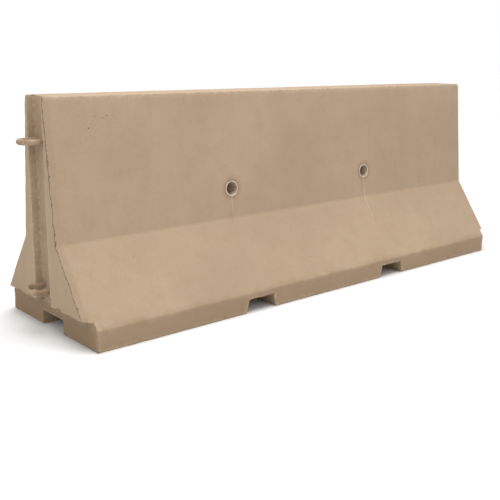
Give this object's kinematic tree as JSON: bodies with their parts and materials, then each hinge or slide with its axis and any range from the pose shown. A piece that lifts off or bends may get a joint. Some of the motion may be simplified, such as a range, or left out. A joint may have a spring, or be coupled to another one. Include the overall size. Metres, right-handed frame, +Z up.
{
  "type": "concrete jersey barrier",
  "caption": "Precast concrete road barrier with the New Jersey profile, lifting sleeves, end keyways with pin loops, and fork slots underneath.",
  "frame": {"origin": "on the ground, under the middle of the barrier's bounding box", "axes": "+X along the barrier, +Y across it, +Z up"},
  "size_m": [2.408, 0.61, 0.813],
  "materials": {
    "concrete": "formed concrete, dusty tan, matt",
    "sleeve_plastic": "moulded tube, dulled by cement",
    "loop_steel": "hot rolled round bar with a coat of tan masonry paint",
    "reinforcing_steel": "hot rolled bar with mill scale and light rust"
  },
  "bodies": {
    "root": {"concrete_body": "concrete", "lifting_sleeve_left": "sleeve_plastic", "lifting_sleeve_right": "sleeve_plastic", "connector_loop_left_upper": "loop_steel", "connector_loop_left_lower": "loop_steel", "connector_loop_right_upper": "loop_steel", "connector_loop_right_lower": "loop_steel", "longitudinal_bar_1": "reinforcing_steel", "longitudinal_bar_2": "reinforcing_steel", "longitudinal_bar_3": "reinforcing_steel", "longitudinal_bar_4": "reinforcing_steel", "longitudinal_bar_5": "reinforcing_steel", "longitudinal_bar_6": "reinforcing_steel", "longitudinal_bar_7": "reinforcing_steel", "longitudinal_bar_8": "reinforcing_steel", "stirrup_1": "reinforcing_steel", "stirrup_2": "reinforcing_steel", "stirrup_3": "reinforcing_steel", "stirrup_4": "reinforcing_steel", "stirrup_5": "reinforcing_steel", "stirrup_6": "reinforcing_steel", "stirrup_7": "reinforcing_steel", "stirrup_8": "reinforcing_steel"}
  },
  "joints": []
}
